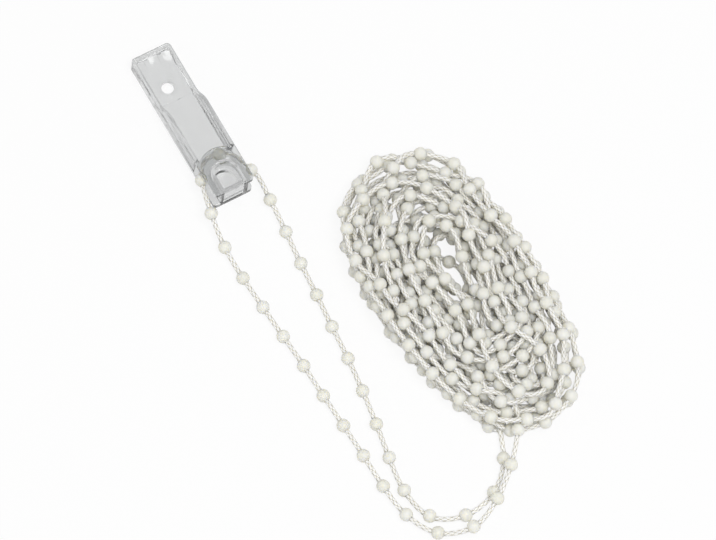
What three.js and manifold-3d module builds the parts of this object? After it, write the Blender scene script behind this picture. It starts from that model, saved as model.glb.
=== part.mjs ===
// A roller blind's bead chain, threaded round its clear wall guide, with the spare length wound into a hank.
// Millimetres, +Z up. It lies on a table: +X is across, +Y is towards the guide's screw end, z = 0 is the table.
// The origin is on the table, under the middle of the whole.

import * as THREE from "three";
import { mergeVertices } from "three/addons/utils/BufferGeometryUtils.js";
import Module from "manifold-3d";

// Chain: round beads moulded at an even pitch on a thin braided cord.
const bead_diameter = 4.5;
const bead_pitch = 12;
const cord_diameter = 1.65;
const bead_bore_clearance = 0.3;
const bead_sides = 9;
const bead_rings = 6;
const cord_sides = 8;

// Guide: one clear moulding, a shallow trough with a screw land at one end and a half-round hub at the other.
const guide_width = 14.5;
const guide_above_hub = 51.3;
const guide_below_hub = 6.2;
const guide_corner_radius = 1.4;
const back_plate_thickness = 1.8;
const side_wall_thickness = 1.2;
const low_wall_height = 5.5;
const high_wall_height = 10;
const low_wall_length = 18;
const wall_rise_length = 8.5;

// Screw land: a thicker floor with a countersunk hole.
const screw_land_length = 18.5;
const screw_land_step = 0.8;
const screw_hole_from_end = 12.8;
const screw_hole_diameter = 4.2;
const screw_head_diameter = 7.4;
const screw_head_sink = 1.5;

// Thumb ramp at the screw end, hollowed by two slots so that it moulds without sinking.
const ramp_length = 7;
const ramp_end_gap = 0.6;
const ramp_slot_width = 1.6;
const ramp_slot_length = 3.4;
const ramp_slot_depth = 1.5;
const ramp_slot_spacing = 5;

// Hub and race: the beads run round the hub, between the back plate and the front lip.
const chain_turn_radius = 8.1;
const bead_running_gap = 0.3;
const lip_thickness = 1.5;
const lip_reach = 9.4;
const hub_wall = 1.3;
const pocket_floor = 1.2;
const lip_rib_height = 0.5;
const lip_rib_width = 0.9;
const arc_segments = 20;
const hole_segments = 32;
const cut_overrun = 1;

// The guide lies turned on the table, and the chain in its race props its left edge up.
const guide_place_x = -43.9;
const guide_place_y = 30.3;
const guide_turn = THREE.MathUtils.degToRad(29.7);
const guide_roll = THREE.MathUtils.degToRad(6);

// Hank: turns of chain wound into an egg-shaped ring.
const hank_place_x = 34.6;
const hank_place_y = -8.9;
const hank_turn = THREE.MathUtils.degToRad(-57.2);
const hank_length = 106;
const hank_width = 56.4;
const hank_taper = 0.08;
const hank_squareness = 2.6;
const hank_bow = 2.3;
const hank_hole_width = 4;
const hank_height = 16.5;
const hank_section_flatness = 0.62;
const hank_turns_across = 7;
const hank_ridge_depth = 1.8;
const hank_ridge_drift = 2;
const hank_steps_round = 34;
const hank_steps_section = 44;
const hank_ridge_steps = 240;
const hank_beads_outer_low = -0.3;
const hank_beads_inner_low = 0.5;
const hank_blank_radius = 2;
const touch_gap = 0.3;
const seat_segments = 16;

// Moves the plan so that the origin is under the middle of the whole.
const plan_shift_x = 1.0;
const plan_shift_y = 6.25;

// Chain from the hank to the guide and back, one point near each bead: x, y and z of the cord's centre.
const strand_to_guide = [
  [51.6, -52.7, 6.3],
  [51.3, -56.1, 6.6],
  [49.0, -67.5, 6.9],
  [44.2, -79.1, 6.3],
  [37.1, -87.3, 4.3],
  [25.6, -88.9, 2.3],
  [15.3, -82.7, 2.25],
  [7.9, -73.0, 2.25],
  [1.4, -62.5, 2.25],
  [-5.1, -52.3, 2.25],
  [-11.8, -41.9, 2.25],
  [-18.3, -31.6, 2.25],
  [-25.1, -21.5, 2.25],
  [-31.7, -11.5, 2.25],
  [-38.3, -1.4, 2.25],
  [-44.1, 8.9, 3.2],
];
const strand_from_guide = [
  [-28.6, 23.7, 3.3],
  [-23.7, 13.5, 2.25],
  [-18.9, 2.8, 2.25],
  [-13.6, -8.2, 2.25],
  [-8.6, -19.1, 2.25],
  [-3.3, -30.1, 2.25],
  [1.4, -41.1, 2.25],
  [5.9, -52.4, 2.25],
  [10.1, -63.9, 2.25],
  [14.9, -74.9, 2.25],
  [23.2, -83.5, 2.25],
  [34.3, -83.1, 2.25],
  [43.3, -75.7, 2.25],
  [46.7, -65.9, 2.25],
  [45.8, -54.9, 2.25],
  [45.0, -49.1, 2.25],
];
// Where the two strands leave the guide, in the guide's own frame: x and y.
const left_exit = [-9.7, -6.6];
const right_exit = [9.7, -3];
const turn_points = 7;
const route_divisions = 4000;

// Sizes that follow from the ones above.
const bead_radius = bead_diameter / 2;
const cord_radius = cord_diameter / 2;
const bead_lift = bead_radius - cord_radius;
const half_guide = guide_width / 2;
const bead_turn_radius = Math.sqrt(chain_turn_radius ** 2 - (bead_pitch / 4) ** 2);
const hub_radius = bead_turn_radius - bead_radius - bead_running_gap;
const race_outer_radius = chain_turn_radius + bead_radius + bead_running_gap;
const lip_underside = high_wall_height - lip_thickness;
const race_height = (back_plate_thickness + lip_underside) / 2;
const screw_land_thickness = back_plate_thickness + screw_land_step;
const guide_lift = half_guide * Math.sin(guide_roll);
const pocket_radius = hub_radius - hub_wall;

// Turns a profile drawn in length and height so that it stands along the guide and runs across it.
const along_guide = new THREE.Matrix4().makeBasis(
  new THREE.Vector3(0, 1, 0),
  new THREE.Vector3(0, 0, 1),
  new THREE.Vector3(1, 0, 0),
);

const wasm = await Module();
wasm.setup();

const clear_plastic = new THREE.MeshStandardMaterial({
  color: 0xcfd2d1,
  roughness: 0.08,
  metalness: 0,
  transparent: true,
  opacity: 0.45,
});
const bead_plastic = new THREE.MeshStandardMaterial({ color: 0xe2e2dc, roughness: 0.35, metalness: 0 });
const braided_cord = new THREE.MeshStandardMaterial({ color: 0xe9e9e4, roughness: 0.55, metalness: 0 });
const wound_chain = new THREE.MeshStandardMaterial({ color: 0xdad9d0, roughness: 0.6, metalness: 0 });

// A closed mesh as a solid that can be joined and cut.
function solidFrom(geometry) {
  const bare = geometry.index ? geometry.toNonIndexed() : geometry.clone();
  bare.deleteAttribute("normal");
  bare.deleteAttribute("uv");
  const merged = mergeVertices(bare, 1e-4);
  const mesh = new wasm.Mesh({
    numProp: 3,
    vertProperties: merged.attributes.position.array,
    triVerts: new Uint32Array(merged.index.array),
  });
  return new wasm.Manifold(mesh);
}

function geometryFrom(solid) {
  const mesh = solid.getMesh();
  const geometry = new THREE.BufferGeometry();
  geometry.setAttribute("position", new THREE.BufferAttribute(mesh.vertProperties, 3));
  geometry.setIndex(new THREE.BufferAttribute(mesh.triVerts, 1));
  geometry.computeVertexNormals();
  return geometry;
}

// A flat outline raised from one height to another.
function slab(outline, from_z, to_z) {
  const geometry = new THREE.ExtrudeGeometry(outline, {
    depth: to_z - from_z,
    bevelEnabled: false,
    curveSegments: arc_segments / 2,
  });
  geometry.translate(0, 0, from_z);
  return solidFrom(geometry);
}

function block(from, to) {
  const size = to.map((value, axis) => value - from[axis]);
  const geometry = new THREE.BoxGeometry(...size);
  geometry.translate(...from.map((value, axis) => value + size[axis] / 2));
  return solidFrom(geometry);
}

// Outline seen from the front: a half-round above, straight sides below, down to bottom_y.
function archOutline(radius, bottom_y) {
  const outline = new THREE.Shape();
  outline.moveTo(-radius, bottom_y);
  outline.lineTo(radius, bottom_y);
  outline.lineTo(radius, 0);
  outline.absarc(0, 0, radius, 0, Math.PI, false);
  outline.lineTo(-radius, bottom_y);
  return outline;
}

// The guide's own outline with rounded corners.
function plateOutline() {
  const r = guide_corner_radius;
  const outline = new THREE.Shape();
  outline.moveTo(-half_guide + r, -guide_below_hub);
  outline.lineTo(half_guide - r, -guide_below_hub);
  outline.absarc(half_guide - r, -guide_below_hub + r, r, -Math.PI / 2, 0, false);
  outline.lineTo(half_guide, guide_above_hub - r);
  outline.absarc(half_guide - r, guide_above_hub - r, r, 0, Math.PI / 2, false);
  outline.lineTo(-half_guide + r, guide_above_hub);
  outline.absarc(-half_guide + r, guide_above_hub - r, r, Math.PI / 2, Math.PI, false);
  outline.lineTo(-half_guide, -guide_below_hub + r);
  outline.absarc(-half_guide + r, -guide_below_hub + r, r, Math.PI, Math.PI * 1.5, false);
  return outline;
}

// Everything that the side view keeps: low beside the screw, rising in an S to the full height at the hub.
function sideProfile() {
  const low_end = guide_above_hub - low_wall_length;
  const high_start = low_end - wall_rise_length;
  const middle = (low_end + high_start) / 2;
  const bottom = -guide_below_hub - cut_overrun;
  const top = guide_above_hub + cut_overrun;
  const profile = new THREE.Shape();
  profile.moveTo(bottom, 0);
  profile.lineTo(top, 0);
  profile.lineTo(top, low_wall_height);
  profile.lineTo(low_end, low_wall_height);
  profile.bezierCurveTo(middle, low_wall_height, middle, high_wall_height, high_start, high_wall_height);
  profile.lineTo(bottom, high_wall_height);
  profile.lineTo(bottom, 0);
  return profile;
}

// The side profile runs across the guide's whole width.
function sideCut() {
  const geometry = new THREE.ExtrudeGeometry(sideProfile(), {
    depth: guide_width + 2 * cut_overrun,
    bevelEnabled: false,
    curveSegments: arc_segments / 2,
  });
  geometry.applyMatrix4(along_guide);
  geometry.translate(-half_guide - cut_overrun, 0, 0);
  return solidFrom(geometry);
}

// The room inside the trough, from the screw end down to the front lip's arched edge.
function troughRoom() {
  const inner = half_guide - side_wall_thickness;
  const top = guide_above_hub - side_wall_thickness;
  const springing = Math.sqrt(lip_reach ** 2 - inner ** 2);
  const start = Math.atan2(springing, inner);
  const room = new THREE.Shape();
  room.moveTo(inner, springing);
  room.lineTo(inner, top);
  room.lineTo(-inner, top);
  room.lineTo(-inner, springing);
  room.absarc(0, 0, lip_reach, Math.PI - start, start, true);
  return slab(room, back_plate_thickness, high_wall_height + cut_overrun);
}

// The race that the beads run in: all round the hub, and out past both sides and the bottom.
function chainRace() {
  const bottom = -guide_below_hub - cut_overrun;
  const around = slab(archOutline(race_outer_radius, bottom), back_plate_thickness, lip_underside);
  const hub_outline = archOutline(hub_radius, bottom - cut_overrun);
  const hub = slab(hub_outline, back_plate_thickness - cut_overrun, lip_underside + cut_overrun);
  return around.subtract(hub);
}

// The hub's hollow, open at the front, with the same wall all round.
function hubPocket() {
  const outline = archOutline(pocket_radius, -guide_below_hub + hub_wall);
  return slab(outline, pocket_floor, high_wall_height + lip_rib_height + cut_overrun);
}

// A thin arched rib that frames the pocket on the front lip.
function lipRib() {
  const outer = archOutline(pocket_radius + lip_rib_width, -guide_below_hub + hub_wall - lip_rib_width);
  return slab(outer, lip_underside + lip_thickness / 2, high_wall_height + lip_rib_height);
}

function screwLand() {
  const inner = half_guide - side_wall_thickness / 2;
  const from = [-inner, guide_above_hub - screw_land_length, back_plate_thickness / 2];
  const to = [inner, guide_above_hub - side_wall_thickness / 2, screw_land_thickness];
  return block(from, to);
}

// Wedge that rises from the screw land to the end wall.
function thumbRamp() {
  const top = guide_above_hub - side_wall_thickness / 2;
  const profile = new THREE.Shape();
  profile.moveTo(top - ramp_length, back_plate_thickness);
  profile.lineTo(top, back_plate_thickness);
  profile.lineTo(top, low_wall_height - ramp_end_gap);
  profile.lineTo(top - ramp_length, screw_land_thickness);
  profile.lineTo(top - ramp_length, back_plate_thickness);
  const half = half_guide - side_wall_thickness / 2;
  const geometry = new THREE.ExtrudeGeometry(profile, { depth: 2 * half, bevelEnabled: false });
  geometry.applyMatrix4(along_guide);
  geometry.translate(-half, 0, 0);
  return solidFrom(geometry);
}

function rampSlot(x) {
  const top = guide_above_hub - side_wall_thickness - ramp_end_gap;
  const bottom_z = low_wall_height - ramp_end_gap - ramp_slot_depth;
  const from = [x - ramp_slot_width / 2, top - ramp_slot_length, bottom_z];
  return block(from, [x + ramp_slot_width / 2, top, low_wall_height + cut_overrun]);
}

// Countersunk hole, turned about its own axis.
function screwHole() {
  const hole = screw_hole_diameter / 2;
  const head = screw_head_diameter / 2;
  const seat = screw_land_thickness - screw_head_sink;
  const above = low_wall_height;
  const profile = [
    new THREE.Vector2(0, -cut_overrun),
    new THREE.Vector2(hole, -cut_overrun),
    new THREE.Vector2(hole, seat),
    new THREE.Vector2(head, screw_land_thickness),
    new THREE.Vector2(head, above),
    new THREE.Vector2(0, above),
  ];
  const geometry = new THREE.LatheGeometry(profile, hole_segments);
  geometry.rotateX(Math.PI / 2);
  geometry.translate(0, guide_above_hub - screw_hole_from_end, 0);
  return solidFrom(geometry);
}

function guideBody() {
  let body = slab(plateOutline(), 0, high_wall_height).intersect(sideCut());
  body = body.subtract(troughRoom());
  body = body.add(screwLand());
  body = body.add(thumbRamp());
  for (const side of [-1, 1]) {
    body = body.subtract(rampSlot((side * ramp_slot_spacing) / 2));
  }
  body = body.subtract(chainRace());
  body = body.add(lipRib());
  body = body.subtract(hubPocket());
  body = body.subtract(screwHole());
  return new THREE.Mesh(geometryFrom(body), clear_plastic);
}

// The guide's own frame has its origin at the hub's axis on the back face.
const guide_frame = new THREE.Matrix4()
  .makeTranslation(guide_place_x + plan_shift_x, guide_place_y + plan_shift_y, guide_lift)
  .multiply(new THREE.Matrix4().makeRotationZ(guide_turn))
  .multiply(new THREE.Matrix4().makeRotationY(guide_roll));

function onTable([x, y, z]) {
  return new THREE.Vector3(x + plan_shift_x, y + plan_shift_y, z);
}

function inRace(x, y) {
  return new THREE.Vector3(x, y, race_height).applyMatrix4(guide_frame);
}

// The cord's centre line: up one strand, round the hub and down the other.
function chainRoute() {
  const points = strand_to_guide.map(onTable);
  points.push(inRace(...left_exit));
  for (let i = 0; i < turn_points; i += 1) {
    const angle = Math.PI * (1 - i / (turn_points - 1));
    points.push(inRace(chain_turn_radius * Math.cos(angle), chain_turn_radius * Math.sin(angle)));
  }
  points.push(inRace(...right_exit));
  points.push(...strand_from_guide.map(onTable));
  const route = new THREE.CatmullRomCurve3(points, false, "centripetal");
  route.arcLengthDivisions = route_divisions;
  return route;
}

// Two steps of the tube to each pitch of the chain: the cord stays straight inside a bead and bends between beads.
function chainSteps(route) {
  return Math.round(route.getLength() / (bead_pitch / 2));
}

function chainCord(route) {
  const section = new THREE.Shape();
  section.absarc(0, 0, cord_radius, 0, 2 * Math.PI, false);
  const geometry = new THREE.ExtrudeGeometry(section, {
    steps: chainSteps(route),
    extrudePath: route,
    curveSegments: cord_sides / 2,
    bevelEnabled: false,
  });
  return new THREE.Mesh(geometry, braided_cord);
}

// One bead, turned about Z, with the bore that the cord runs through.
function beadGeometry() {
  const bore = cord_radius + bead_bore_clearance;
  const start = Math.asin(bore / bead_radius);
  const profile = [];
  for (let i = 0; i <= bead_rings; i += 1) {
    const angle = start + ((Math.PI - 2 * start) * i) / bead_rings;
    profile.push(new THREE.Vector2(bead_radius * Math.sin(angle), -bead_radius * Math.cos(angle)));
  }
  profile.push(profile[0].clone());
  return new THREE.LatheGeometry(profile, bead_sides);
}

function beads(route) {
  const group = new THREE.Group();
  const geometry = beadGeometry();
  const steps = chainSteps(route);
  const up = new THREE.Vector3(0, 1, 0);
  let number = 1;
  for (let i = 0; i < steps; i += 2) {
    const from = route.getPointAt(i / steps);
    const to = route.getPointAt((i + 1) / steps);
    const bead = new THREE.Mesh(geometry, bead_plastic);
    bead.name = `bead_${String(number).padStart(2, "0")}`;
    bead.position.copy(from).add(to).multiplyScalar(0.5);
    bead.quaternion.setFromUnitVectors(up, to.sub(from).normalize());
    group.add(bead);
    number += 1;
  }
  return group;
}

// How far the hank's middle line lies aside, at a place along it: it bows like a slightly bent bar.
function hankBow(x) {
  const along = Math.min(1, Math.abs((2 * x) / hank_length));
  return hank_bow * (along ** 2 - 0.5);
}

// Point on the hank's cord, which lies inside its beads' reach. Round is the angle along the ring and
// across the angle round its section; at depth 1 the point is on the surface, at 0 in the section's middle.
function hankPoint(round, across, depth = 1) {
  const half_length = hank_length / 2 - bead_lift;
  const power = 2 / hank_squareness;
  const along = Math.sign(Math.cos(round)) * Math.abs(Math.cos(round)) ** power;
  const aside = Math.sign(Math.sin(round)) * Math.abs(Math.sin(round)) ** power;
  const half_width = (hank_width / 2) * (1 - hank_taper * along) - bead_lift;
  const half_height = (hank_height - bead_lift) / 2;
  const ring_half = (half_width - hank_hole_width / 2) / 2;
  const ridge = Math.abs(Math.cos(hank_turns_across * across + hank_ridge_drift * round));
  const lobe = 1 - (hank_ridge_depth / ring_half) * (1 - ridge);
  const reach = Math.sign(Math.cos(across)) * Math.abs(Math.cos(across)) ** hank_section_flatness * lobe;
  const rise = Math.sign(Math.sin(across)) * Math.abs(Math.sin(across)) ** hank_section_flatness;
  const spread = ring_half * (1 + reach * depth);
  const x = along * (half_length - 2 * ring_half + spread);
  const y = aside * (half_width - 2 * ring_half + spread) + hankBow(x);
  const top = rise > 0 ? lobe : 1;
  return new THREE.Vector3(x, y, half_height * (1 + rise * top * depth));
}

// The beads of the turns that show from above and outside, at the chain's pitch along each ridge.
function hankBeads() {
  const places = [];
  for (let ridge = 0; ridge < 2 * hank_turns_across; ridge += 1) {
    let last = null;
    for (let step = 0; step < hank_ridge_steps; step += 1) {
      const round = (2 * Math.PI * step) / hank_ridge_steps;
      const across = (Math.PI * ridge - hank_ridge_drift * round) / hank_turns_across;
      const lowest = Math.cos(across) > 0 ? hank_beads_outer_low : hank_beads_inner_low;
      const point = hankPoint(round, across);
      if (Math.sin(across) < lowest || (last && point.distanceTo(last) < bead_pitch)) {
        continue;
      }
      last = point;
      const inwards = hankPoint(round, across, 0).sub(point).normalize();
      const place = point.clone().addScaledVector(inwards, cord_radius);
      if (places.every((other) => other.distanceTo(place) > bead_diameter + touch_gap)) {
        places.push(place);
      }
    }
  }
  return places;
}

// The wound turns as one solid: a turned ring, whose points are laid on the hank's own oval, and its beads.
function hank(route) {
  const section = [];
  for (let i = 0; i <= hank_steps_section; i += 1) {
    const across = (2 * Math.PI * i) / hank_steps_section;
    section.push(new THREE.Vector2(hank_blank_radius + Math.cos(across), Math.sin(across)));
  }
  const geometry = new THREE.LatheGeometry(section, hank_steps_round);
  const position = geometry.getAttribute("position");
  for (let i = 0; i < position.count; i += 1) {
    const [x, y, z] = [position.getX(i), position.getY(i), position.getZ(i)];
    const round = Math.atan2(x, z);
    const across = Math.atan2(y, Math.hypot(x, z) - hank_blank_radius);
    position.setXYZ(i, ...hankPoint(round, across));
  }
  const place = new THREE.Matrix4().makeRotationZ(hank_turn);
  place.setPosition(hank_place_x + plan_shift_x, hank_place_y + plan_shift_y, 0);
  geometry.applyMatrix4(place);
  const ends = [route.getPointAt(0), route.getPointAt(1)];
  const pieces = [solidFrom(geometry)];
  for (const point of hankBeads()) {
    point.applyMatrix4(place);
    if (ends.every((end) => end.distanceTo(point) > bead_pitch)) {
      pieces.push(solidFrom(new THREE.IcosahedronGeometry(bead_radius).translate(...point)));
    }
  }
  let turns = wasm.Manifold.union(pieces);
  turns = withStrand(turns, ends[0], route.getTangentAt(0).negate());
  turns = withStrand(turns, ends[1], route.getTangentAt(1));
  return new THREE.Mesh(geometryFrom(turns), wound_chain);
}

// A rod one pitch long on the line of a strand, from a distance past the cord's end, further into the hank.
function rodPastEnd(end, inward, distance, radius) {
  const geometry = new THREE.CylinderGeometry(radius, radius, bead_pitch, seat_segments);
  geometry.applyQuaternion(new THREE.Quaternion().setFromUnitVectors(new THREE.Vector3(0, 1, 0), inward));
  geometry.translate(...end.clone().addScaledVector(inward, distance + bead_pitch / 2));
  return solidFrom(geometry);
}

// A strand's place in the hank: room for its first bead, and past the cord's end the cord's way on.
function withStrand(turns, end, inward) {
  const room = rodPastEnd(end, inward, touch_gap - bead_pitch, bead_radius + touch_gap);
  const way_on = rodPastEnd(end, inward, touch_gap, cord_radius);
  return turns.subtract(room).add(way_on);
}

function named(mesh, name) {
  mesh.name = name;
  return mesh;
}

const chain = new THREE.Group();
const route = chainRoute();

const guide = named(guideBody(), "guide_body");
guide.applyMatrix4(guide_frame);
chain.add(guide);
chain.add(named(chainCord(route), "chain_cord"));
chain.add(beads(route));
chain.add(named(hank(route), "hank"));

export default chain;
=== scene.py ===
# A roller blind's bead chain, threaded round its clear wall guide, with its spare length in a hank.
# Metres, +Z up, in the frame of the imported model: it lies on a table at z = 0.

import math

import bmesh
import bpy
import numpy as np
from mathutils import Matrix, Vector


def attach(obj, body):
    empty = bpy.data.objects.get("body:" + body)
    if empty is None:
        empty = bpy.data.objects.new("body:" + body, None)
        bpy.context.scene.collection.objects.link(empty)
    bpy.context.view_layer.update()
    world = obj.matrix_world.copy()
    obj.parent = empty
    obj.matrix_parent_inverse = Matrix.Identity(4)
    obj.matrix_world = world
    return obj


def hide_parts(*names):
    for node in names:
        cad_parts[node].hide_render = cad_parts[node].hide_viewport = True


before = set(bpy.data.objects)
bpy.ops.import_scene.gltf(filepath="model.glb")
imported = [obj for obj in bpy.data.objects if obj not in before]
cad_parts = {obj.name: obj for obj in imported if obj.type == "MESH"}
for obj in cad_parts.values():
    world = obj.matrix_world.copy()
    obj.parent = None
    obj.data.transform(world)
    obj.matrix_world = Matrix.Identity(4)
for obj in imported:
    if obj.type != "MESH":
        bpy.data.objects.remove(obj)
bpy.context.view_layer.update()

# Chain: round beads moulded at an even pitch on a thin braided cord, followed in eighths of the pitch.
bead_diameter = 0.0045
bead_pitch = 0.012
cord_diameter = 0.00165
chain_length = 5.0
steps_per_bead = 8
step_length = bead_pitch / steps_per_bead

# Hank: an egg-shaped ring of turns.
hank_place = (0.0346, -0.0089)
hank_turn = math.radians(-57.2)
hank_length = 0.1060
hank_width = 0.0564
hank_taper = 0.08
hank_squareness = 2.6
hank_bow = 0.0023

# Moves the plan so that the origin is under the middle of the whole.
plan_shift = (0.001, 0.00625)

# Guide: where it lies, and the race in which the chain turns round its hub.
guide_place = (-0.0439, 0.0303)
guide_turn = math.radians(29.7)
guide_roll = math.radians(6)
guide_width = 0.0145
race_height = 0.00515
chain_turn_radius = 0.0081
left_exit = (-0.0097, -0.0066)
right_exit = (0.0097, -0.003)
turn_points = 7
route_samples = 60

# Chain from the hank to the guide and back, one point near each bead: x, y and z of the cord's centre.
strand_to_guide = [
    (0.0516, -0.0527, 0.0063),
    (0.0513, -0.0561, 0.0066),
    (0.0490, -0.0675, 0.0069),
    (0.0442, -0.0791, 0.0063),
    (0.0371, -0.0873, 0.0043),
    (0.0256, -0.0889, 0.0023),
    (0.0153, -0.0827, 0.00225),
    (0.0079, -0.0730, 0.00225),
    (0.0014, -0.0625, 0.00225),
    (-0.0051, -0.0523, 0.00225),
    (-0.0118, -0.0419, 0.00225),
    (-0.0183, -0.0316, 0.00225),
    (-0.0251, -0.0215, 0.00225),
    (-0.0317, -0.0115, 0.00225),
    (-0.0383, -0.0014, 0.00225),
    (-0.0441, 0.0089, 0.0032),
]
strand_from_guide = [
    (-0.0286, 0.0237, 0.0033),
    (-0.0237, 0.0135, 0.00225),
    (-0.0189, 0.0028, 0.00225),
    (-0.0136, -0.0082, 0.00225),
    (-0.0086, -0.0191, 0.00225),
    (-0.0033, -0.0301, 0.00225),
    (0.0014, -0.0411, 0.00225),
    (0.0059, -0.0524, 0.00225),
    (0.0101, -0.0639, 0.00225),
    (0.0149, -0.0749, 0.00225),
    (0.0232, -0.0835, 0.00225),
    (0.0343, -0.0831, 0.00225),
    (0.0433, -0.0757, 0.00225),
    (0.0467, -0.0659, 0.00225),
    (0.0458, -0.0549, 0.00225),
    (0.0450, -0.0491, 0.00225),
]


# Camera: it looks down at the table from the near side, as the photograph does.
def set_camera():
    photo_width = 716
    focal_length_pixels = 4500
    sensor_width_mm = 36
    elevation = math.radians(71)
    distance = 1.4652
    aim = Vector((0.001, 0.00625, 0.00227))
    data = bpy.data.cameras.new("camera")
    data.sensor_width = sensor_width_mm
    data.lens = focal_length_pixels * sensor_width_mm / photo_width
    data.clip_start = 0.1
    data.clip_end = 10
    camera = bpy.data.objects.new("camera", data)
    bpy.context.scene.collection.objects.link(camera)
    camera.location = aim + distance * Vector((0, -math.cos(elevation), math.sin(elevation)))
    camera.rotation_euler = (math.pi / 2 - elevation, 0, 0)
    bpy.context.scene.camera = camera


# The chain's line outside the hank.
def guide_frame():
    """The guide's own frame: origin on the hub's axis at its back, +Y to the screw end, +Z to its front."""
    lift = guide_width / 2 * math.sin(guide_roll)
    place = Vector((guide_place[0] + plan_shift[0], guide_place[1] + plan_shift[1], lift))
    turned = Matrix.Rotation(guide_turn, 4, "Z") @ Matrix.Rotation(guide_roll, 4, "Y")
    return Matrix.Translation(place) @ turned


def route_points():
    shift = np.array([plan_shift[0], plan_shift[1], 0])
    race = [left_exit]
    for i in range(turn_points):
        angle = math.pi * (1 - i / (turn_points - 1))
        race.append((chain_turn_radius * math.cos(angle), chain_turn_radius * math.sin(angle)))
    race.append(right_exit)
    to_table = guide_frame()
    points = [np.array(p) + shift for p in strand_to_guide]
    points += [np.array(to_table @ Vector((x, y, race_height))) for x, y in race]
    points += [np.array(p) + shift for p in strand_from_guide]
    return np.array(points)


def smooth_curve(points, samples):
    """A centripetal Catmull-Rom curve through the points, with that many samples between each two."""
    before = 2 * points[0] - points[1]
    after = 2 * points[-1] - points[-2]
    p = np.vstack([before, points, after])
    gap = np.sqrt(np.linalg.norm(np.diff(p, axis=0), axis=1))
    t = (np.arange(samples) / samples)[:, None]
    pieces = []
    for i in range(1, len(p) - 2):
        g0, g1, g2 = gap[i - 1], gap[i], gap[i + 1]
        start = (p[i] - p[i - 1]) / g0 - (p[i + 1] - p[i - 1]) / (g0 + g1) + (p[i + 1] - p[i]) / g1
        end = (p[i + 1] - p[i]) / g1 - (p[i + 2] - p[i]) / (g1 + g2) + (p[i + 2] - p[i + 1]) / g2
        start, end = start * g1, end * g1
        square = -3 * p[i] + 3 * p[i + 1] - 2 * start - end
        cube = 2 * p[i] - 2 * p[i + 1] + start + end
        pieces.append(p[i] + start * t + square * t**2 + cube * t**3)
    pieces.append(p[-2][None, :])
    return np.vstack(pieces)


def arc_positions(path):
    return np.concatenate([[0], np.cumsum(np.linalg.norm(np.diff(path, axis=0), axis=1))])


def resampled(path, places):
    along = arc_positions(path)
    return np.stack([np.interp(places, along, path[:, k]) for k in range(3)], axis=1)


def chain_outside_hank():
    """Points every eighth pitch from the hank to the guide and back."""
    fine = smooth_curve(route_points(), route_samples)
    length = arc_positions(fine)[-1]
    steps = round(length / (bead_pitch / 2)) * steps_per_bead // 2
    return resampled(fine, np.linspace(0, length, steps + 1))


# The chain's line in the hank: wound in loose turns, then let fall and settle under its own weight.
hank_seed = 31
turns_wound = 15
turn_samples = 180
samples_skipped = turn_samples // 15
mean_turn_length = 0.2
base_heights = (0.0025, 0.005)
lift_per_turn = 0.0019
inner_half_length = 0.025
inner_half_width = 0.002
far_end_reach = (0.6, 1.0)
crowding_outwards = 0.75
first_turn_share = 0.93

# One turn of each strand lies slack, round the outside, and the others keep within it.
slack_turn = 8
slack_turns = 1
slack_share = 0.985
slack_room = 0.06
loose_room = 0.99

# How the winding wanders: free values in each turn, and how far each may go.
share_wander = (2.3, 0.12)
angle_wander = (1.5, 0.12)
lengthwise_wander = (0.9, 0.002)
sidewise_wander = (0.9, 0.0012)
lean_wander = (0.8, 0.13)
height_wander = (2.0, 0.0015)

# Openings that show the table through the hank: places along and across it.
openings = ((-0.0172, 0.0036), (-0.0080, 0.0004))
opening_radius = 0.0026

# What the hank loses in size as it settles, and how far its middle is moved to allow for that.
settling_loss_lengthwise = 0.0044
settling_loss_sidewise = 0.0010
settling_shift = 0.0012

# Settling: points move in small steps, and in the last, firm part contacts count for most.
settle_rounds = 420
firm_share = 0.7
fall_step = 0.0003
passes_each_step = 2
cord_keep = 0.00092
neighbour_steps = 4
contact_margin = 0.002
contacts_found_every = 6
contact_rounds = 2
firm_contact_rounds = 8
contact_sharing = 0.3
wall_pull = 0.3
firm_wall_pull = 0.12
opening_push = 0.5
bead_stiffness = 0.5
cord_stiffness = 0.3
least_bend_radius = 0.0055
strut_gaps = (2, 4, 8)
strut_push = 0.15
lead_steps = 2 * steps_per_bead
held_steps = 3
spare_share = 0.07
slide_every = 6
slide_smoothing = 0.25
smoothing_rounds = 2
no_distance = 1e-12


def hank_axes():
    """Unit vectors along and across the hank, and its middle."""
    along = np.array([math.cos(hank_turn), math.sin(hank_turn)])
    across = np.array([-along[1], along[0]])
    middle = np.array(hank_place) + np.array(plan_shift) - settling_shift * along
    return along, across, middle


def bowed(lengthwise):
    """How far the hank's bent middle line lies aside at a place from -1 to 1 along it."""
    return hank_bow * (np.clip(lengthwise, -1, 1) ** 2 - 0.5)


def eased(values, place):
    """Values at 0, 1, 2 and so on, with a smooth way from each to the next."""
    whole = np.clip(np.floor(place).astype(int), 0, len(values) - 2)
    part = np.clip(place - whole, 0, 1)
    part = part * part * (3 - 2 * part)
    return values[whole] * (1 - part) + values[whole + 1] * part


def slow_noise(random, turn, per_turn, amplitude):
    """A slow wander along the winding: one free value each 1 / per_turn of a turn, eased between them."""
    count = int(turns_wound * per_turn) + 3
    return eased(random.uniform(-1, 1, count) * amplitude, turn * per_turn)


def egg_angle(point):
    """The egg shape's own angle in the direction of a point of the plan."""
    along, across, middle = hank_axes()
    u, v = (point[:2] - middle) @ along, (point[:2] - middle) @ across
    power = hank_squareness / 2
    v = v - bowed(2 * u / hank_length)
    cosine = abs(2 * u / hank_length) ** power
    sine = abs(2 * v / hank_width) ** power
    return math.atan2(math.copysign(sine, v), math.copysign(cosine, u))


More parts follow.
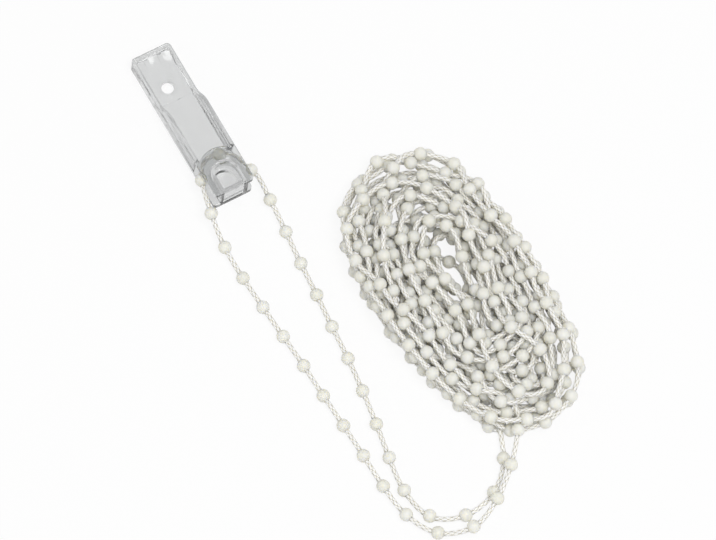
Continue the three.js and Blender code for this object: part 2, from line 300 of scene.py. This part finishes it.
def wound_strand(random, neck, into_hank, base_height, count):
    """Raw turns of one strand from the neck, count steps long, with how far out each point may lie.
    It starts on top and ends underneath. Turns lie one inside another at the near end of the hank's axis,
    and at the far end they turn back early or late, so that they cross there."""
    along, across, middle = hank_axes()
    turn = np.linspace(0, turns_wound, turns_wound * turn_samples)
    count_of_shares = turns_wound + 2
    shares = (np.arange(count_of_shares) + 0.5) / count_of_shares
    order = random.permutation(shares) ** crowding_outwards
    order[0] = first_turn_share
    order[slack_turn : slack_turn + slack_turns] = 1.0
    far_reach = random.uniform(*far_end_reach, count_of_shares)
    far_reach[slack_turn : slack_turn + slack_turns] = 1.0
    outer_length = hank_length / 2 - bead_diameter / 2 + settling_loss_lengthwise
    outer_width = hank_width / 2 - bead_diameter / 2 + settling_loss_sidewise
    share = np.clip(eased(order, turn) + slow_noise(random, turn, *share_wander), 0, 1)
    angle = egg_angle(neck) - 2 * np.pi * turn + slow_noise(random, turn, *angle_wander)
    half_length = inner_half_length + (outer_length - inner_half_length) * share
    far_length = outer_length * eased(far_reach, turn)
    half_width = inner_half_width + (outer_width - inner_half_width) * share
    power = 2 / hank_squareness
    lengthwise = np.sign(np.cos(angle)) * np.abs(np.cos(angle)) ** power
    sidewise = np.sign(np.sin(angle)) * np.abs(np.sin(angle)) ** power
    u = np.where(lengthwise > 0, far_length, half_length) * lengthwise
    u = u + slow_noise(random, turn, *lengthwise_wander)
    v = half_width * sidewise * (1 - hank_taper * lengthwise)
    v = v + slow_noise(random, turn, *sidewise_wander)
    v = v + bowed(2 * u / hank_length)
    lean = slow_noise(random, turn, *lean_wander)
    u, v = u * np.cos(lean) - v * np.sin(lean), u * np.sin(lean) + v * np.cos(lean)
    turns_in_all = count * step_length / mean_turn_length
    height = base_height + lift_per_turn * np.maximum(0, turns_in_all - turn)
    height = height + slow_noise(random, turn, *height_wander)
    plan = middle + u[:, None] * along + v[:, None] * across
    path = np.column_stack([plan, height])
    lead = neck + into_hank * step_length
    path = np.vstack([neck, lead, path[samples_skipped:]])
    room = np.where(eased(order, turn) > slack_share, 1.0, 1 - slack_room)
    room = np.concatenate([[1, 1], room[samples_skipped:]])
    places = np.arange(count) * step_length
    return resampled(path, places), np.interp(places, arc_positions(path), room)


def gathered(index, values, count):
    """The sum of the values that share an index, for each index."""
    return np.stack([np.bincount(index, values[:, k], count) for k in range(3)], axis=1)


def drawn_taut(strand, loose):
    """The strand with its small waves taken out, but for its loose turns: it slides along itself."""
    taut = strand.copy()
    drawn = slide_smoothing * (~loose[3:-1])[:, None]
    taut[3:-1] += drawn * (strand[2:-2] - 2 * strand[3:-1] + strand[4:])
    return resampled(taut, np.arange(len(strand)) * step_length)


def bend_limits(strand):
    """Struts: two points of a bent cord are never nearer than on a circle of the least bend radius."""
    struts = []
    for gap in strut_gaps:
        first = np.flatnonzero(strand[:-gap] == strand[gap:])
        turned = gap * step_length / (2 * least_bend_radius)
        struts.append((gap, first, 2 * least_bend_radius * math.sin(turned)))
    return struts


def contact_pairs(p, keep):
    """Pairs of points that may soon touch, without near neighbours on the cord."""
    square = (p**2).sum(axis=1)
    apart = square[:, None] + square[None, :] - 2 * p @ p.T
    reach = keep[:, None] + keep[None, :] + contact_margin
    return np.nonzero(np.triu(apart < reach**2, neighbour_steps))


def push_apart(p, first, second, keep, held, free):
    """Points that run into one another move apart, and none goes below the table."""
    count = len(p)
    apart = p[first] - p[second]
    distance = np.linalg.norm(apart, axis=1) + no_distance
    wanted = keep[first] + keep[second]
    hit = distance < wanted
    a, b = first[hit], second[hit]
    push = apart[hit] * (0.5 * (wanted[hit] - distance[hit]) / distance[hit])[:, None]
    moved = gathered(a, push, count) - gathered(b, push, count)
    shares = np.bincount(a, minlength=count) + np.bincount(b, minlength=count)
    p += moved / np.maximum(shares, 1)[:, None] ** contact_sharing * free
    p[:, 2] = np.where((p[:, 2] < keep) & ~held, keep, p[:, 2])


def keep_step_length(p, link, free):
    """Neighbours on the cord go back to one step apart, the even links and then the odd ones."""
    for start in (0, 1, 0, 1, 0, 1):
        i = link[start::2]
        span = p[i + 1] - p[i]
        distance = np.linalg.norm(span, axis=1)[:, None] + no_distance
        total = np.maximum(free[i] + free[i + 1], 1)
        pull = span * (distance - step_length) / distance / total
        p[i] += pull * free[i]
        p[i + 1] -= pull * free[i + 1]


def limit_bends(p, struts, free):
    count = len(p)
    for gap, i, least in struts:
        span = p[i + gap] - p[i]
        distance = np.linalg.norm(span, axis=1)[:, None] + no_distance
        push = span * strut_push * np.maximum(least - distance, 0) / distance
        p += (gathered(i + gap, push, count) - gathered(i, push, count)) * free


def straighten(p, bend, stiffness, free):
    """Each point is drawn towards the middle of its neighbours, and they the other way."""
    count = len(p)
    off = (0.5 * (p[bend] + p[bend + 2]) - p[bend + 1]) * stiffness[bend + 1]
    moved = gathered(bend + 1, 0.5 * off, count) - gathered(bend, 0.25 * off, count)
    p += (moved - gathered(bend + 2, 0.25 * off, count)) * free


def clear_openings(p, keep, free):
    along, across, _ = hank_axes()
    for opening in openings:
        centre = np.array(hank_place) + np.array(plan_shift) + opening[0] * along + opening[1] * across
        apart = p[:, :2] - centre
        distance = np.linalg.norm(apart, axis=1)[:, None] + no_distance
        inside = np.maximum(opening_radius + keep[:, None] - distance, 0)
        p[:, :2] += opening_push * apart / distance * inside * free


def draw_within_walls(p, room, held, pull):
    """Points outside the egg shape, or outside their share of it, are drawn towards its middle."""
    along, across, middle = hank_axes()
    half_length = hank_length / 2 - bead_diameter / 2 + settling_loss_lengthwise
    half_width = hank_width / 2 - bead_diameter / 2 + settling_loss_sidewise
    u, v = (p[:, :2] - middle) @ along, (p[:, :2] - middle) @ across
    taper = 1 - hank_taper * np.clip(u / half_length, -1, 1)
    v = v - bowed(u / half_length)
    out = np.abs(u / half_length) ** hank_squareness
    out = out + np.abs(v / (half_width * taper)) ** hank_squareness
    out = out ** (1 / hank_squareness) / room
    back = np.where((out > 1) & ~held, pull * (1 / np.maximum(out, 1) - 1), 0)
    p[:, 0] += back * (u * along[0] + v * across[0])
    p[:, 1] += back * (u * along[1] + v * across[1])


def settle(points, room, strand_starts, is_bead, held, spare):
    """Lets the wound turns fall, rest on the table and each other, and keep their length and stiffness.
    Spare points at a strand's far end touch nothing and are cut off in the end."""
    keep = np.where(is_bead, bead_diameter / 2, cord_keep)
    keep[spare] = 0
    stiffness = np.where(is_bead, bead_stiffness, cord_stiffness)[:, None]
    free = (~held).astype(float)[:, None]
    count = len(points)
    strand = np.searchsorted(np.array(strand_starts), np.arange(count), side="right")
    link = np.flatnonzero(strand[:-1] == strand[1:])
    bend = np.flatnonzero(strand[:-2] == strand[2:])
    struts = bend_limits(strand)
    ends = list(strand_starts[1:]) + [count]
    p = points.copy()
    loose = room > loose_room
    for step in range(settle_rounds):
        firm = step > firm_share * settle_rounds
        if step % slide_every == 0 and not firm:
            for start, end in zip(strand_starts, ends):
                own = slice(start + lead_steps, end)
                p[own] = drawn_taut(p[own], loose[own])
        p[:, 2:] -= fall_step * max(0.0, 1 - step / (settle_rounds * firm_share)) * free
        if step % contacts_found_every == 0:
            first, second = contact_pairs(p, keep)
        for _ in range(passes_each_step):
            for _ in range(firm_contact_rounds if firm else contact_rounds):
                push_apart(p, first, second, keep, held, free)
            keep_step_length(p, link, free)
            limit_bends(p, struts, free)
            straighten(p, bend, stiffness, free)
        clear_openings(p, keep, free)
        draw_within_walls(p, room, held, firm_wall_pull if firm else wall_pull)
    return p


def chain_line():
    """The whole chain's centre line, a point each eighth pitch, and which points are beads."""
    outside = chain_outside_hank()
    beads_outside = (len(outside) - 1) // steps_per_bead + 1
    beads_in_hank = round(chain_length / bead_pitch) - beads_outside
    last = steps_per_bead // 2
    counts = [beads_in_hank // 2 * steps_per_bead + last]
    counts.append((beads_in_hank - beads_in_hank // 2) * steps_per_bead + last)
    wound = [round(count * (1 + spare_share)) for count in counts]
    random = np.random.default_rng(hank_seed)
    # Each strand starts with a stretch that lies outside the hank and holds still.
    leads = [outside[-lead_steps - 1 : -1], outside[lead_steps:0:-1]]
    necks = [outside[-1], outside[0]]
    strands = []
    rooms = []
    for lead, neck, base, count in zip(leads, necks, base_heights, wound):
        inwards = (neck - lead[-1]) / np.linalg.norm(neck - lead[-1])
        strand, room = wound_strand(random, neck, inwards, base, count)
        strands.append(np.vstack([lead, strand]))
        rooms.append(np.concatenate([np.ones(lead_steps), room]))
    places = [np.arange(-lead_steps, count) for count in wound]
    first_bead = steps_per_bead * 3 // 4
    is_bead = np.concatenate([place % steps_per_bead == first_bead for place in places])
    held = np.concatenate([place < held_steps for place in places])
    spare = np.concatenate([place >= count for place, count in zip(places, counts)])
    second_start = len(strands[0])
    settled = settle(np.vstack(strands), np.concatenate(rooms), [0, second_start], is_bead, held, spare)
    inner = settled[lead_steps:][: counts[0]]
    outer = settled[second_start + lead_steps :][: counts[1]]
    line = np.vstack([outer[::-1], outside[1:-1], inner])
    first_outside = counts[1] - 1
    bead_at = (np.arange(len(line)) - first_outside) % steps_per_bead == steps_per_bead // 4
    bead_at[:2] = False
    bead_at[-2:] = False
    # Smoothing eases the cord's sharpest bends. A bead is stiff, so its middle lies between its neighbours,
    # and none lies lower than the table.
    for _ in range(smoothing_rounds):
        line[1:-1] += 0.25 * (line[:-2] - 2 * line[1:-1] + line[2:])
    at = np.flatnonzero(bead_at)
    line[at] = 0.5 * (line[at - 1] + line[at + 1])
    for near in (-1, 0, 1):
        line[at + near, 2] = np.maximum(line[at + near, 2], bead_diameter / 2)
    return line, at


# Node trees: one function adds a node with its settings and links.
def add_node(tree, kind, inputs=None, **settings):
    node = tree.nodes.new(kind)
    for name, value in settings.items():
        setattr(node, name, value)
    for key, value in (inputs or {}).items():
        if isinstance(value, bpy.types.NodeSocket):
            tree.links.new(value, node.inputs[key])
        else:
            node.inputs[key].default_value = value
    return node


def colour(code):
    """An sRGB hex colour as linear red, green, blue and alpha."""
    parts = [int(code[i : i + 2], 16) / 255 for i in (1, 3, 5)]
    linear = [p / 12.92 if p <= 0.04045 else ((p + 0.055) / 1.055) ** 2.4 for p in parts]
    return (*linear, 1.0)


def new_material(name):
    material = bpy.data.materials.new(name)
    material.use_nodes = True
    tree = material.node_tree
    tree.nodes.clear()
    output = add_node(tree, "ShaderNodeOutputMaterial")
    return material, tree, output


def new_object(name, mesh):
    piece = bpy.data.objects.new(name, mesh)
    bpy.context.scene.collection.objects.link(piece)
    return piece


# Cord: a round braid of eight yarns, four each way, whose crossings stand up as a net of diamonds.
cord_samples = 8
cord_sides = 12
cord_ring_gap = 0.00065
yarns_each_way = 4
braid_lay = 0.0096
braid_relief = 0.00011
braid_level = 0.35


def cord_mesh(line):
    fine = smooth_curve(line, cord_samples)
    length = arc_positions(fine)[-1]
    rings = round(length / cord_ring_gap)
    places = np.linspace(0, length, rings + 1)
    centre = resampled(fine, places)
    tangent = np.gradient(centre, axis=0)
    tangent /= np.linalg.norm(tangent, axis=1)[:, None]
    side = np.zeros_like(tangent)
    side[0] = np.cross(tangent[0], (0, 0, 1))
    side[0] /= np.linalg.norm(side[0])
    for i in range(1, len(side)):
        kept = side[i - 1] - tangent[i] * (side[i - 1] @ tangent[i])
        side[i] = kept / np.linalg.norm(kept)
    other = np.cross(tangent, side)
    share = np.arange(cord_sides) / cord_sides
    lean_one = yarns_each_way * (places[:, None] / braid_lay + share[None, :])
    lean_two = yarns_each_way * (places[:, None] / braid_lay - share[None, :])
    crossing = np.sin(np.pi * lean_one) ** 2 * np.sin(np.pi * lean_two) ** 2
    radius = cord_diameter / 2 + braid_relief * (crossing - braid_level)
    angle = 2 * np.pi * share
    ring = np.cos(angle)[None, :, None] * side[:, None, :]
    ring = ring + np.sin(angle)[None, :, None] * other[:, None, :]
    points = (centre[:, None, :] + radius[:, :, None] * ring).reshape(-1, 3)
    row = np.arange(rings)[:, None] * cord_sides
    here = np.arange(cord_sides)[None, :]
    following = (here + 1) % cord_sides
    next_row = row + cord_sides
    faces = np.stack([row + here, row + following, next_row + following, next_row + here], -1)
    faces = faces.reshape(-1, 4)
    mesh = bpy.data.meshes.new("braided_cord")
    caps = [list(range(cord_sides))[::-1], list(range(rings * cord_sides, (rings + 1) * cord_sides))]
    mesh.from_pydata(points.tolist(), [], faces.tolist() + caps)
    across = np.stack([share, share + 1 / cord_sides, share + 1 / cord_sides, share], 1)
    lower = np.repeat(places[:-1], cord_sides) / braid_lay
    upper = np.repeat(places[1:], cord_sides) / braid_lay
    along = np.stack([lower, lower, upper, upper], 1)
    uv = np.zeros((len(faces) * 4 + 2 * cord_sides, 2))
    uv[: len(faces) * 4, 0] = along.reshape(-1)
    uv[: len(faces) * 4, 1] = np.tile(across, (rings, 1)).reshape(-1)
    layer = mesh.uv_layers.new(name="braid")
    layer.data.foreach_set("uv", uv.reshape(-1))
    mesh.shade_smooth()
    mesh.update()
    return mesh, centre, length


def braided_polyester():
    """Round braid of bright filament polyester: silky white yarns that glint, with painted shade in the
    gaps between them.
    """
    material, tree, output = new_material("braided_polyester")
    uv = add_node(tree, "ShaderNodeUVMap", uv_map="braid")
    parts = add_node(tree, "ShaderNodeSeparateXYZ", {0: uv.outputs[0]})
    leans = []
    for way in (1, -1):
        term = add_node(tree, "ShaderNodeMath", {0: parts.outputs["Y"], 1: way}, operation="MULTIPLY")
        inputs = {0: parts.outputs["X"], 1: term.outputs[0]}
        total = add_node(tree, "ShaderNodeMath", inputs, operation="ADD")
        inputs = {0: total.outputs[0], 1: yarns_each_way}
        scaled = add_node(tree, "ShaderNodeMath", inputs, operation="MULTIPLY")
        leans.append(scaled.outputs[0])
    heights = []
    wholes = []
    for lean in leans:
        angle = add_node(tree, "ShaderNodeMath", {0: lean, 1: math.pi}, operation="MULTIPLY")
        wave = add_node(tree, "ShaderNodeMath", {0: angle.outputs[0]}, operation="SINE")
        rise = add_node(tree, "ShaderNodeMath", {0: wave.outputs[0]}, operation="ABSOLUTE")
        heights.append(rise.outputs[0])
        wholes.append(add_node(tree, "ShaderNodeMath", {0: lean}, operation="FLOOR").outputs[0])
    count = add_node(tree, "ShaderNodeMath", {0: wholes[0], 1: wholes[1]}, operation="ADD")
    over = add_node(tree, "ShaderNodeMath", {0: count.outputs[0], 1: 2}, operation="FLOORED_MODULO")
    yarn = add_node(tree, "ShaderNodeMix", {0: over.outputs[0], 2: heights[0], 3: heights[1]})
    other_way = add_node(tree, "ShaderNodeMix", {0: over.outputs[0], 2: heights[1], 3: heights[0]})
    ends = add_node(tree, "ShaderNodeMath", {0: other_way.outputs[0], 1: 0.35}, operation="POWER")
    inputs = {0: yarn.outputs[0], 1: ends.outputs[0]}
    height = add_node(tree, "ShaderNodeMath", inputs, operation="MULTIPLY")
    # Filaments lie along the yarn: a fine noise, stretched along the cord, breaks the glint up.
    stretch = add_node(tree, "ShaderNodeMapping", {0: uv.outputs[0], 3: (9.0, 26.0, 1.0)})
    filaments = add_node(
        tree,
        "ShaderNodeTexNoise",
        {"Vector": stretch.outputs[0], "Scale": 1.0, "Detail": 2.0},
    )
    # Painted shade: where the braid is low, in the gaps between the yarns, the colour goes to a darker warm
    # grey (#B9B4A2) for the shade that falls there; the raised yarns are near white.
    tone = add_node(tree, "ShaderNodeValToRGB", {0: height.outputs[0]})
    tone.color_ramp.elements[0].position = 0.12
    tone.color_ramp.elements[0].color = colour("#B9B4A2")
    tone.color_ramp.elements[1].position = 0.42
    tone.color_ramp.elements[1].color = colour("#FFFDF6")
    shine = add_node(
        tree,
        "ShaderNodeMapRange",
        {"Value": filaments.outputs[0], "From Min": 0.3, "From Max": 0.7, "To Min": 0.22, "To Max": 0.6},
    )
    bump = add_node(
        tree,
        "ShaderNodeBump",
        {"Strength": 0.9, "Distance": 0.00022, "Height": height.outputs[0]},
    )
    surface = add_node(
        tree,
        "ShaderNodeBsdfPrincipled",
        {
            "Base Color": tone.outputs[0],
            "Roughness": shine.outputs[0],
            "Specular IOR Level": 0.9,
            "Sheen Weight": 0.25,
            "Sheen Roughness": 0.4,
            "Subsurface Weight": 0.5,
            "Subsurface Radius": (1.0, 0.93, 0.78),
            "Subsurface Scale": 0.0025,
            "Normal": bump.outputs[0],
        },
    )
    tree.links.new(surface.outputs[0], output.inputs[0])
    return material


# Beads: one small turned form, set on every bead place by Geometry Nodes.
bead_segments = 12
bead_rings = 8
bead_flat_share = 0.95
bead_seed = 3


def bead_tree(material):
    """Geometry Nodes: a bead with flat ends at each point, its axis along the cord."""
    tree = bpy.data.node_groups.new("beads_on_cord", "GeometryNodeTree")
    kinds = {
        "Geometry": "NodeSocketGeometry",
        "Bead diameter": "NodeSocketFloat",
        "Flat share": "NodeSocketFloat",
        "Segments": "NodeSocketInt",
        "Rings": "NodeSocketInt",
        "Seed": "NodeSocketInt",
    }
    for name, kind in kinds.items():
        tree.interface.new_socket(name, in_out="INPUT", socket_type=kind)
    tree.interface.new_socket("Geometry", in_out="OUTPUT", socket_type="NodeSocketGeometry")
    given = add_node(tree, "NodeGroupInput").outputs
    radius = add_node(tree, "ShaderNodeMath", {0: given["Bead diameter"], 1: 0.5}, operation="MULTIPLY")
    ball = add_node(
        tree,
        "GeometryNodeMeshUVSphere",
        {"Segments": given["Segments"], "Rings": given["Rings"], "Radius": radius.outputs[0]},
    )
    place = add_node(tree, "GeometryNodeInputPosition")
    parts = add_node(tree, "ShaderNodeSeparateXYZ", {0: place.outputs[0]})
    inputs = {0: radius.outputs[0], 1: given["Flat share"]}
    top = add_node(tree, "ShaderNodeMath", inputs, operation="MULTIPLY")
    bottom = add_node(tree, "ShaderNodeMath", {0: top.outputs[0], 1: -1}, operation="MULTIPLY")
    level = add_node(
        tree,
        "ShaderNodeClamp",
        {"Value": parts.outputs["Z"], "Min": bottom.outputs[0], "Max": top.outputs[0]},
    )
    flattened = add_node(
        tree,
        "ShaderNodeCombineXYZ",
        {"X": parts.outputs["X"], "Y": parts.outputs["Y"], "Z": level.outputs[0]},
    )
    formed = add_node(
        tree,
        "GeometryNodeSetPosition",
        {"Geometry": ball.outputs["Mesh"], "Position": flattened.outputs[0]},
    )
    kept = add_node(
        tree,
        "GeometryNodeStoreNamedAttribute",
        {"Geometry": formed.outputs[0], "Name": "place_in_bead", "Value": flattened.outputs[0]},
        data_type="FLOAT_VECTOR",
        domain="POINT",
    )
    chance = add_node(tree, "FunctionNodeRandomValue", {"Seed": given["Seed"]}, data_type="FLOAT")
    toned = add_node(
        tree,
        "GeometryNodeStoreNamedAttribute",
        {"Geometry": given["Geometry"], "Name": "bead_tone", "Value": chance.outputs[1]},
        data_type="FLOAT",
        domain="POINT",
    )
    direction = add_node(
        tree,
        "GeometryNodeInputNamedAttribute",
        {"Name": "along"},
        data_type="FLOAT_VECTOR",
    )
    aligned = add_node(
        tree,
        "FunctionNodeAlignRotationToVector",
        {"Vector": direction.outputs[0]},
        axis="Z",
    )
    angle = add_node(tree, "ShaderNodeMath", {0: chance.outputs[1], 1: math.tau}, operation="MULTIPLY")
    turn = add_node(tree, "ShaderNodeCombineXYZ", {"Z": angle.outputs[0]})
    spun = add_node(
        tree,
        "FunctionNodeRotateRotation",
        {"Rotation": aligned.outputs[0], "Rotate By": turn.outputs[0]},
        rotation_space="LOCAL",
    )
    placed = add_node(
        tree,
        "GeometryNodeInstanceOnPoints",
        {"Points": toned.outputs[0], "Instance": kept.outputs[0], "Rotation": spun.outputs[0]},
    )
    real = add_node(tree, "GeometryNodeRealizeInstances", {0: placed.outputs[0]})
    smooth = add_node(tree, "GeometryNodeSetShadeSmooth", {0: real.outputs[0]})
    finished = add_node(
        tree,
        "GeometryNodeSetMaterial",
        {"Geometry": smooth.outputs[0], "Material": material},
    )
    add_node(tree, "NodeGroupOutput", {0: finished.outputs[0]})
    return tree


def made_by_nodes(name, source, tree, values):
    """The plain mesh that a node tree makes of a source mesh."""
    maker = new_object(name + "_source", source)
    modifier = maker.modifiers.new("nodes", "NODES")
    modifier.node_group = tree
    sockets = {item.name: item.identifier for item in tree.interface.items_tree if item.in_out == "INPUT"}
    for key, value in values.items():
        modifier[sockets[key]] = value
    graph = bpy.context.evaluated_depsgraph_get()
    graph.update()
    mesh = bpy.data.meshes.new_from_object(maker.evaluated_get(graph), depsgraph=graph)
    mesh.name = name
    maker.modifiers.clear()
    bpy.data.objects.remove(maker)
    return new_object(name, mesh)


def chain_beads(line, at, material):
    source = bpy.data.meshes.new("bead_places")
    source.from_pydata(line[at].tolist(), [], [])
    along = line[at + 1] - line[at - 1]
    attribute = source.attributes.new("along", "FLOAT_VECTOR", "POINT")
    attribute.data.foreach_set("vector", along.reshape(-1))
    values = {
        "Bead diameter": bead_diameter,
        "Flat share": bead_flat_share,
        "Segments": bead_segments,
        "Rings": bead_rings,
        "Seed": bead_seed,
    }
    return made_by_nodes("chain_beads", source, bead_tree(material), values)


def moulded_acetal():
    """Injection-moulded white acetal: satin and waxy, light inside its edges, a fine parting line."""
    material, tree, output = new_material("moulded_acetal")
    tone = add_node(tree, "ShaderNodeAttribute", attribute_name="bead_tone")
    shade = add_node(
        tree,
        "ShaderNodeMix",
        {"Factor": tone.outputs["Fac"], 6: colour("#E6E4D8"), 7: colour("#EDEBE0")},
        data_type="RGBA",
    )
    place = add_node(tree, "ShaderNodeAttribute", attribute_name="place_in_bead")
    parts = add_node(tree, "ShaderNodeSeparateXYZ", {0: place.outputs["Vector"]})
    aside = add_node(tree, "ShaderNodeMath", {0: parts.outputs["X"]}, operation="ABSOLUTE")
    # The parting line is about 0.15 mm wide.
    seam = add_node(
        tree,
        "ShaderNodeMapRange",
        {"Value": aside.outputs[0], "From Min": 0.00003, "From Max": 0.00012, "To Min": 1.0, "To Max": 0.0},
    )
    # A satin grain of about 0.3 mm.
    grain = add_node(
        tree,
        "ShaderNodeTexNoise",
        {"Vector": place.outputs["Vector"], "Scale": 3000.0, "Detail": 2.0, "Roughness": 0.6},
    )
    faint = add_node(tree, "ShaderNodeMath", {0: grain.outputs[0], 1: 0.25}, operation="MULTIPLY")
    relief = add_node(tree, "ShaderNodeMath", {0: seam.outputs[0], 1: faint.outputs[0]}, operation="ADD")
    bump = add_node(
        tree,
        "ShaderNodeBump",
        {"Strength": 0.35, "Distance": 0.00004, "Height": relief.outputs[0]},
    )
    gloss = add_node(
        tree,
        "ShaderNodeMapRange",
        {"Value": grain.outputs[0], "From Min": 0.3, "From Max": 0.7, "To Min": 0.36, "To Max": 0.5},
    )
    surface = add_node(
        tree,
        "ShaderNodeBsdfPrincipled",
        {
            "Base Color": shade.outputs[2],
            "Roughness": gloss.outputs[0],
            "IOR": 1.48,
            "Specular IOR Level": 0.35,
            "Subsurface Weight": 0.85,
            "Subsurface Radius": (1.0, 0.93, 0.75),
            "Subsurface Scale": 0.006,
            "Normal": bump.outputs[0],
        },
    )
    tree.links.new(surface.outputs[0], output.inputs[0])
    return material


# Guide: the moulding's own solid, with its edges rounded as a mould leaves them.
edge_radius = 0.00022
edge_segments = 2
same_point = 1e-6
flat_angle = math.radians(1)
rounded_angle = math.radians(30)
sharp_angle = math.radians(32)


def clear_guide(material):
    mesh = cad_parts["guide_body"].data.copy()
    mesh.name = "clear_guide"
    shape = bmesh.new()
    shape.from_mesh(mesh)
    bmesh.ops.remove_doubles(shape, verts=shape.verts, dist=same_point)
    bmesh.ops.dissolve_limit(shape, angle_limit=flat_angle, verts=shape.verts, edges=shape.edges)
    sharp = [
        edge
        for edge in shape.edges
        if len(edge.link_faces) == 2 and edge.calc_face_angle() > rounded_angle
    ]
    bmesh.ops.bevel(
        shape,
        geom=sharp,
        offset=edge_radius,
        segments=edge_segments,
        profile=0.5,
        affect="EDGES",
        clamp_overlap=True,
    )
    bmesh.ops.recalc_face_normals(shape, faces=shape.faces)
    shape.to_mesh(mesh)
    shape.free()
    mesh.materials.clear()
    mesh.materials.append(material)
    piece = new_object("clear_guide", mesh)
    mesh.shade_smooth()
    mesh.set_sharp_from_angle(angle=sharp_angle)
    return piece


def clear_polycarbonate():
    """Injection-moulded clear polycarbonate: a soft gloss, faintly grey, with shallow flow marks."""
    material, tree, output = new_material("clear_polycarbonate")
    place = add_node(tree, "ShaderNodeTexCoord")
    # Flow marks about 6 mm apart, all over the moulding.
    flow = add_node(
        tree,
        "ShaderNodeTexNoise",
        {"Vector": place.outputs["Object"], "Scale": 160.0, "Detail": 2.0, "Distortion": 0.6},
    )
    bump = add_node(
        tree,
        "ShaderNodeBump",
        {"Strength": 0.25, "Distance": 0.0003, "Height": flow.outputs[0]},
    )
    surface = add_node(
        tree,
        "ShaderNodeBsdfPrincipled",
        {
            "Base Color": colour("#D9DADA"),
            "Roughness": 0.15,
            "IOR": 1.43,
            "Transmission Weight": 1.0,
            "Normal": bump.outputs[0],
        },
    )
    tree.links.new(surface.outputs[0], output.inputs[0])
    return material


# Stage: a white table top, soft light from above and a white surround.
table_half_width = 1.5
table_drop = 0.0001
paper_white_share = 0.88
surround_light = 0.48
surround_seen = 1.0

# Lamps, turned to the origin: name, place, size of the square and power in watts.
lamps = (
    ("softbox_by_the_camera", (0.35, -0.3, 1.4), 0.7, 11.8),
    ("left_side_fill", (-1.0, 0.0, 0.8), 0.8, 1.4),
)


def seen_share(tree):
    """1 where something is seen straight, in a reflection or through the clear guide, and otherwise 0."""
    rays = add_node(tree, "ShaderNodeLightPath").outputs
    seen = rays["Is Camera Ray"]
    for kind in ("Is Glossy Ray", "Is Transmission Ray"):
        seen = add_node(tree, "ShaderNodeMath", {0: seen, 1: rays[kind]}, operation="MAXIMUM").outputs[0]
    return seen


def white_table():
    """White paper: it shows plain white, with the object's shadow on it."""
    material, tree, output = new_material("white_paper")
    inputs = {0: seen_share(tree), 1: paper_white_share}
    share = add_node(tree, "ShaderNodeMath", inputs, operation="MULTIPLY")
    paper = add_node(tree, "ShaderNodeBsdfDiffuse", {"Color": colour("#F2F2F2")})
    white = add_node(tree, "ShaderNodeEmission", {"Color": (1, 1, 1, 1), "Strength": 1.0})
    both = add_node(
        tree,
        "ShaderNodeMixShader",
        {0: share.outputs[0], 1: paper.outputs[0], 2: white.outputs[0]},
    )
    tree.links.new(both.outputs[0], output.inputs[0])
    return material


def set_stage():
    mesh = bpy.data.meshes.new("table")
    signs = ((-1, -1), (1, -1), (1, 1), (-1, 1))
    corners = [(x * table_half_width, y * table_half_width, -table_drop) for x, y in signs]
    mesh.from_pydata(corners, [], [(0, 1, 2, 3)])
    mesh.materials.append(white_table())
    table = new_object("table", mesh)
    world = bpy.data.worlds.new("surround")
    bpy.context.scene.world = world
    world.use_nodes = True
    tree = world.node_tree
    tree.nodes.clear()
    output = add_node(tree, "ShaderNodeOutputWorld")
    strength = add_node(
        tree,
        "ShaderNodeMapRange",
        {"Value": seen_share(tree), "To Min": surround_light, "To Max": surround_seen},
    )
    light = add_node(tree, "ShaderNodeBackground", {"Color": (1, 1, 1, 1), "Strength": strength.outputs[0]})
    tree.links.new(light.outputs[0], output.inputs[0])


def add_lamp(name, place, size, power):
    data = bpy.data.lights.new(name, "AREA")
    data.shape = "SQUARE"
    data.size = size
    data.energy = power
    lamp = bpy.data.objects.new(name, data)
    bpy.context.scene.collection.objects.link(lamp)
    lamp.location = place
    lamp.rotation_euler = (-Vector(place)).to_track_quat("-Z", "Y").to_euler()


set_camera()
set_stage()
for lamp in lamps:
    add_lamp(*lamp)
bpy.context.scene.view_settings.view_transform = "Standard"

line, bead_places = chain_line()
cord_surface, cord_path, cord_length = cord_mesh(line)
cord_surface.materials.append(braided_polyester())
cord = new_object("braided_cord", cord_surface)
beads = chain_beads(line, bead_places, moulded_acetal())
guide = clear_guide(clear_polycarbonate())

bead_nodes = sorted(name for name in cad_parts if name.startswith("bead_"))
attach(cord, "root")
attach(beads, "root")
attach(guide, "root")
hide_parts("chain_cord", "hank")
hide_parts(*bead_nodes)
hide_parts("guide_body")

bpy.context.view_layer.update()
